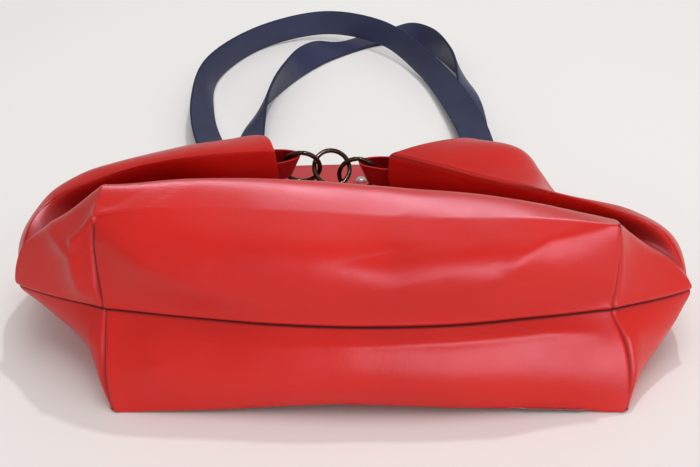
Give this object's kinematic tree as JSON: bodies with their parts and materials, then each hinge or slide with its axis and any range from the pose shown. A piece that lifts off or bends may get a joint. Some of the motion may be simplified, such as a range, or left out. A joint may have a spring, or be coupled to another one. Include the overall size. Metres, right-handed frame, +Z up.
{
  "type": "leather tote bag",
  "caption": "Red leather tote bag lying on its back with a boxed base, its sides folded to the front and linked there by metal rings, with navy strap handles.",
  "frame": {"origin": "on the flat of the back that the bag lies on, on its centre line, 150 mm from the lower edge of the base", "axes": "+Y from the base to the mouth and the handles, +Z up from the surface that the bag lies on, +X to the right seen from the base"},
  "size_m": [0.5028, 0.6559, 0.1451],
  "materials": {
    "red_leather": "smooth semi-gloss red calf leather",
    "navy_leather": "smooth navy strap leather",
    "dark_metal": "polished black nickel",
    "grey_metal": "satin nickel"
  },
  "bodies": {
    "root": {"front_panel": "red_leather", "back_panel": "red_leather", "tab_left": "red_leather", "tab_right": "red_leather", "ring_left": "dark_metal", "ring_middle": "dark_metal", "ring_right": "dark_metal", "handle_front": "navy_leather", "handle_back": "navy_leather", "front_stud": "grey_metal"}
  },
  "joints": []
}
